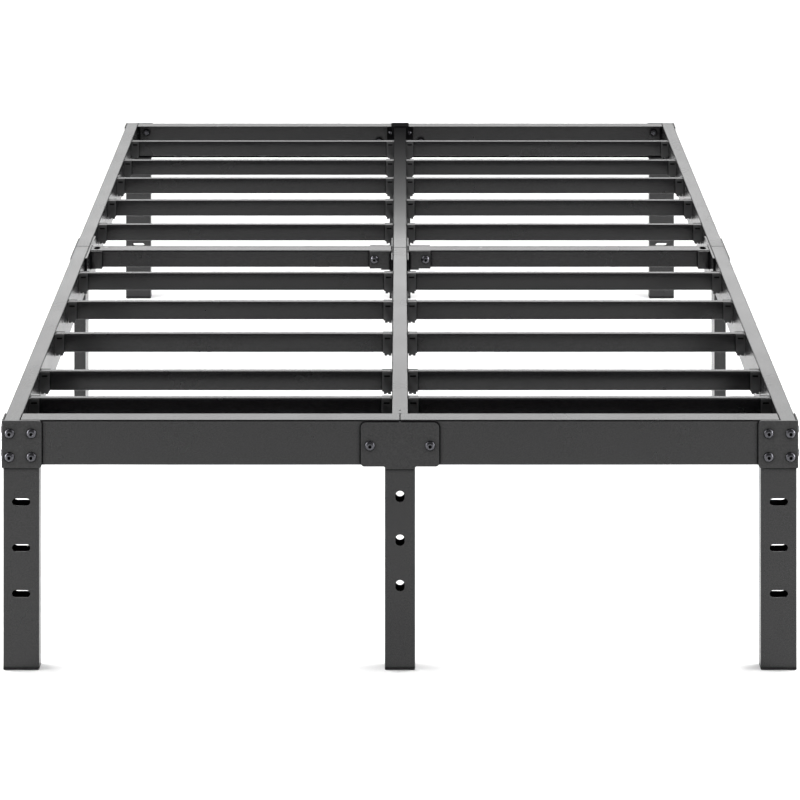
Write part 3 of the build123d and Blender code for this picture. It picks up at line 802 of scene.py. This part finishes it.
class BEDFRAME_OT_steelwork(bpy.types.Operator):
    """Makes the rails, brackets, legs, beams and splices, with coated rounded edges"""

    bl_idname = "bedframe.steelwork"
    bl_label = "Steelwork"

    def execute(self, context):
        sizes = context.scene.bedframe_sizes
        for nodes, edge in ((RAILS + BEAMS + LEGS, sizes.sheet_edge), (PLATES + SPLICES, sizes.plate_edge)):
            for node in nodes:
                coat = COAT_OF.get(node, "satin_powder_coat")
                settle(rounded_steel(node, edge), coat, "powder_coated_steel", node)
        return {"FINISHED"}


class BEDFRAME_OT_slats(bpy.types.Operator):
    """Lays the hollow slat tubes in their rows"""

    bl_idname = "bedframe.slats"
    bl_label = "Slats"

    def execute(self, context):
        sizes = context.scene.bedframe_sizes
        boxes = [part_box(node) for node in SLATS]
        size = boxes[0][1] - boxes[0][0]
        slats = points_object("slats", [(low + high) / 2 for low, high in boxes])
        # The slats take the lower-gloss copy of the coat, as painted shade
        run_tree(slats, tube_tree(), {
            "Length": size.x, "Width": size.y, "Height": size.z,
            "Wall": sizes.slat_wall * MM, "Corner": sizes.slat_corner * MM,
            "Material": bpy.data.materials["thin_powder_coat"],
        })
        smooth_by_angle(slats.data)
        settle(slats, "thin_powder_coat", "powder_coated_steel", *SLATS)
        return {"FINISHED"}


class BEDFRAME_OT_shoes(bpy.types.Operator):
    """Fits a nylon shoe to both ends of every slat"""

    bl_idname = "bedframe.shoes"
    bl_label = "Slat shoes"

    def execute(self, context):
        edge = context.scene.bedframe_sizes.shoe_edge
        for node in ("slat_shoes_side", "slat_shoes_centre"):
            boxes = [extent(points) for points in islands(node)]
            master = self.master(node, next(box for box in boxes if box[0].x > 0), edge)
            places = [(low + high) / 2 for low, high in boxes]
            turns = [(0.0, 0.0, 0.0 if p.x > 0 else math.pi) for p in places]
            shoes = points_object(f"{node}_moulded", places, turns)
            run_tree(shoes, scatter_tree(), {
                "Fitting": master, "Spin": 0.0, "Seed": 1, "Material": bpy.data.materials["moulded_nylon"],
            })
            bpy.data.objects.remove(master)
            settle(shoes, "moulded_nylon", "black_nylon", node)
        return {"FINISHED"}

    def master(self, node, box, edge):
        """One shoe, cut out of the CAD node, centred, with its moulded edges rounded."""
        bm = merged_copy(node)
        low, high = box
        slack = 1e-4
        outside = [
            v for v in bm.verts
            if any(v.co[i] < low[i] - slack or v.co[i] > high[i] + slack for i in range(3))
        ]
        bmesh.ops.delete(bm, geom=outside, context="VERTS")
        bmesh.ops.translate(bm, verts=bm.verts, vec=-(low + high) / 2)
        shoe = add_object(f"{node}_master", finished_mesh(bm, f"{node}_master"))
        round_edges(shoe, edge)
        bake_modifiers(shoe)
        smooth_by_angle(shoe.data)
        return shoe


class BEDFRAME_OT_fasteners(bpy.types.Operator):
    """Fits the bolts and nuts"""

    bl_idname = "bedframe.fasteners"
    bl_label = "Bolts and nuts"

    def execute(self, context):
        sizes = context.scene.bedframe_sizes
        self.fit(sizes, "bolts", self.bolt_kinds(sizes))
        self.fit(sizes, "nuts", self.nut_kinds())
        return {"FINISHED"}

    def axis_of(self, points):
        """The way a bolt's head faces, the middle of its crown, the bolt's length and its head's radius."""
        low, high = extent(points)
        size, centre = high - low, (low + high) / 2
        axis = min(range(3), key=lambda k: abs(size[(k + 1) % 3] - size[(k + 2) % 3]))
        across = ((axis + 1) % 3, (axis + 2) % 3)
        rim = max(size[k] for k in across) / 2
        wide = [p for p in points if max(abs(p[k] - centre[k]) for k in across) > rim * 0.9]
        side = 1 if sum(p[axis] for p in wide) / len(wide) > centre[axis] else -1
        out = Vector([side if k == axis else 0 for k in range(3)])
        end = centre.copy()
        end[axis] = (high if side > 0 else low)[axis]
        return out, end, size[axis], rim

    def bolt_kinds(self, sizes):
        """Groups the CAD bolts by head and length, with a mesh for each group."""
        groups = {}
        for points in islands("bolts"):
            out, end, length, rim = self.axis_of(points)
            kind = "m8" if rim > LARGE_RIM * MM else "m6"
            head_height = BOLTS[kind][1]
            key = (kind, round((length / MM - head_height) * 2) / 2)
            groups.setdefault(key, []).append((end - out * head_height * MM, out))
        kinds = []
        for (kind, length), spots in sorted(groups.items()):
            head, head_height, shank, socket, share = BOLTS[kind]
            pitch = sizes.thread_pitch * share
            kinds.append((bolt_mesh(f"bolt_{kind}", head, head_height, shank, length, socket, pitch), spots))
        return kinds

    def nut_kinds(self):
        """The one nut mesh, with each nut's place and the way its bore points."""
        spots = []
        for points in islands("nuts"):
            low, high = extent(points)
            size, centre = high - low, (low + high) / 2
            axis = min(range(3), key=lambda k: size[k])
            out = Vector([1 if k == axis else 0 for k in range(3)])
            spots.append((centre + out * size[axis] / 2, out))
        return [(nut_mesh("nut_m8", *NUT), spots)]

    def fit(self, sizes, node, kinds):
        """Scatters each kind at its places and joins them into one piece."""
        whole = bmesh.new()
        for index, (mesh, spots) in enumerate(kinds):
            master = add_object(f"{node}_master_{index}", mesh)
            turns = [out.to_track_quat("Z", "Y").to_euler() for _, out in spots]
            run = points_object(f"{node}_run_{index}", [p for p, _ in spots], turns)
            run_tree(run, scatter_tree(), {
                "Fitting": master, "Spin": math.pi / 3, "Seed": sizes.spin_seed + index,
                "Material": bpy.data.materials["black_oxide_steel"],
            })
            whole.from_mesh(run.data)
            bpy.data.objects.remove(run)
            bpy.data.objects.remove(master)
        fitted = add_object(f"{node}_turned", finished_mesh(whole, f"{node}_turned", TURNED_SHARP_OVER))
        settle(fitted, "black_oxide_steel", "fastener_steel", node)


class BEDFRAME_OT_foot_caps(bpy.types.Operator):
    """Fits a ribbed plastic cap in the foot of every leg"""

    bl_idname = "bedframe.foot_caps"
    bl_label = "Foot caps"

    def execute(self, context):
        bm = bmesh.new()
        for points in islands("foot_caps"):
            cap_mesh(bm, *extent(points))
        bmesh.ops.recalc_face_normals(bm, faces=bm.faces)
        caps = add_object("foot_caps_moulded", finished_mesh(bm, "foot_caps_moulded"))
        settle(caps, "moulded_foot_plastic", "foot_cap_plastic", "foot_caps")
        return {"FINISHED"}


class BEDFRAME_OT_welds(bpy.types.Operator):
    """Runs a weld bead under the bracket round the hidden sides of every leg"""

    bl_idname = "bedframe.welds"
    bl_label = "Weld beads"

    def execute(self, context):
        sizes = context.scene.bedframe_sizes
        verts, edges = [], []
        for node in LEGS:
            path = self.path(node, *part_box(node))
            first = len(verts)
            verts += path
            edges += [(first + i, first + i + 1) for i in range(len(path) - 1)]
        mesh = bpy.data.meshes.new("weld_beads")
        mesh.from_pydata(verts, edges, [])
        beads = add_object("weld_beads", mesh)
        run_tree(beads, weld_tree(), {
            "Width": sizes.weld_width * MM, "Ripple": sizes.weld_ripple * MM,
            "Material": bpy.data.materials["satin_powder_coat"],
        })
        smooth_by_angle(beads.data, BEAD_SHARP_OVER)
        settle(beads, "satin_powder_coat", "powder_coated_steel")
        return {"FINISHED"}

    def path(self, node, low, high):
        """The bead's path at the top of a leg, away from the outer faces."""
        z, r = high.z - 0.6 * MM, 3.0 * MM
        x0, x1, y0, y1 = low.x, high.x, low.y, high.y
        if node == "centre_leg":
            corners = [
                (x0 + r, y0), (x1 - r, y0), (x1, y0 + r), (x1, y1 - r),
                (x1 - r, y1), (x0 + r, y1), (x0, y1 - r), (x0, y0 + r), (x0 + r, y0),
            ]
        elif node.startswith("side_middle_leg"):
            out, inner = (x0, x1) if x0 < 0 else (x1, x0)
            step = math.copysign(r, inner - out)
            corners = [
                (out + step, y0), (inner - step, y0), (inner, y0 + r),
                (inner, y1 - r), (inner - step, y1), (out + step, y1),
            ]
        else:
            out, inner = (y0, y1) if y0 < 0 else (y1, y0)
            step = math.copysign(r, inner - out)
            corners = [
                (x0, out + step), (x0, inner - step), (x0 + r, inner),
                (x1 - r, inner), (x1, inner - step), (x1, out + step),
            ]
            if node in CORNER_LEGS:
                corners = corners[2:] if x0 < 0 else corners[:4]
        return [(x, y, z) for x, y in corners]


class BEDFRAME_OT_stage(bpy.types.Operator):
    """Lays the pale floor and sets the soft lights and the camera"""

    bl_idname = "bedframe.stage"
    bl_label = "Studio"

    def execute(self, context):
        studio = context.scene.bedframe_studio
        self.floor()
        self.lights(context, studio)
        self.camera(context, studio)
        return {"FINISHED"}

    def floor(self):
        """A square floor, 30 m each way."""
        corners = [(30.0 * x, 30.0 * y, 0.0) for x, y in ((-1, -1), (1, -1), (1, 1), (-1, 1))]
        mesh = bpy.data.meshes.new("studio_floor")
        mesh.from_pydata(corners, [], [(0, 1, 2, 3)])
        mesh.materials.append(bpy.data.materials["studio_floor"])
        add_object("studio_floor", mesh)

    def softbox(self, name, watts, size, place, target):
        """A rectangular light of the given size in metres, turned to its target."""
        light = bpy.data.lights.new(name, "AREA")
        light.shape = "RECTANGLE"
        light.size, light.size_y = size
        light.energy = watts
        obj = add_object(name, light)
        obj.location = place
        obj.rotation_euler = (Vector(target) - Vector(place)).to_track_quat("-Z", "Y").to_euler()

    def lights(self, context, studio):
        """A surround that darkens overhead, a softbox behind the head end, and two lights on each side."""
        world = bpy.data.worlds.new("studio_surround")
        world.use_nodes = True
        tree = world.node_tree
        ray = add_node(tree, "ShaderNodeTexCoord").outputs["Generated"]
        rise = add_node(tree, "ShaderNodeSeparateXYZ", {"Vector": ray}).outputs["Z"]
        glow = add_node(tree, "ShaderNodeMapRange", {
            "Value": rise, "From Min": 0.1, "From Max": 0.6, "To Min": studio.sky, "To Max": studio.zenith,
        }, interpolation_type="SMOOTHSTEP").outputs["Result"]
        surround = tree.nodes["Background"]
        surround.inputs["Color"].default_value = (1.0, 1.0, 1.0, 1.0)
        tree.links.new(glow, surround.inputs["Strength"])
        context.scene.world = world
        deck, middle = (0.0, 0.0, CAD_BOX[1][2]), (0.0, 0.0, 0.0)
        self.softbox("back_softbox", studio.back_watts, (7.0, 2.6), (0.0, 6.5, 3.4), deck)
        for side in (-1, 1):
            self.softbox("side_softbox", studio.side_watts, (3.0, 6.0), (side * 4.2, 0.0, 2.3), middle)
            corner = (side * 0.7, -1.0, 0.4)
            self.softbox("strip_light", studio.strip_watts, (0.5, 1.9), (side * 3.4, -1.5, 1.1), corner)

    def camera(self, context, studio):
        """A camera whose picture plane stands upright while it looks down, as a rising front gives."""
        top, front = 0.478, -1.016      # metres: the rails' top and the foot brackets' face
        tilt = math.atan(studio.horizon_columns / studio.focal_columns)
        data = bpy.data.cameras.new("camera")
        data.lens = math.hypot(studio.horizon_columns, studio.focal_columns) / COLUMNS * data.sensor_width
        data.clip_end = 100.0
        camera = add_object("camera", data)
        stand = add_object("camera_stand", None)
        camera.parent = stand
        camera.matrix_parent_inverse = Matrix((
            (1.0, 0.0, 0.0, 0.0),
            (0.0, 0.0, -math.cos(tilt), front - studio.distance),
            (0.0, 1.0, math.sin(tilt), top + studio.height),
            (0.0, 0.0, 0.0, 1.0),
        ))
        context.scene.camera = camera
        context.scene.view_settings.view_transform = "Standard"


class BEDFRAME_PT_panel(bpy.types.Panel):
    """Lists the steps of the build"""

    bl_label = "Bed Frame"
    bl_idname = "BEDFRAME_PT_panel"
    bl_space_type = "VIEW_3D"
    bl_region_type = "UI"
    bl_category = "Bed Frame"

    def draw(self, context):
        for step in STEPS:
            self.layout.operator(step.bl_idname)
        scene = context.scene
        for group in (scene.bedframe_finish, scene.bedframe_sizes, scene.bedframe_studio):
            box = self.layout.box()
            for name in group.__annotations__:
                box.prop(group, name)


STEPS = (
    BEDFRAME_OT_materials,
    BEDFRAME_OT_stage,
    BEDFRAME_OT_steelwork,
    BEDFRAME_OT_slats,
    BEDFRAME_OT_shoes,
    BEDFRAME_OT_fasteners,
    BEDFRAME_OT_foot_caps,
    BEDFRAME_OT_welds,
)
GROUPS = (BedFrameFinish, BedFrameSizes, BedFrameStudio)


def register():
    for cls in GROUPS + STEPS + (BEDFRAME_PT_panel,):
        bpy.utils.register_class(cls)
    bpy.types.Scene.bedframe_finish = PointerProperty(type=BedFrameFinish)
    bpy.types.Scene.bedframe_sizes = PointerProperty(type=BedFrameSizes)
    bpy.types.Scene.bedframe_studio = PointerProperty(type=BedFrameStudio)


def unregister():
    del bpy.types.Scene.bedframe_studio
    del bpy.types.Scene.bedframe_sizes
    del bpy.types.Scene.bedframe_finish
    for cls in reversed(GROUPS + STEPS + (BEDFRAME_PT_panel,)):
        bpy.utils.unregister_class(cls)


def main():
    register()
    for step in STEPS:
        area, name = step.bl_idname.split(".")
        getattr(getattr(bpy.ops, area), name)()


if __name__ == "__main__":
    main()
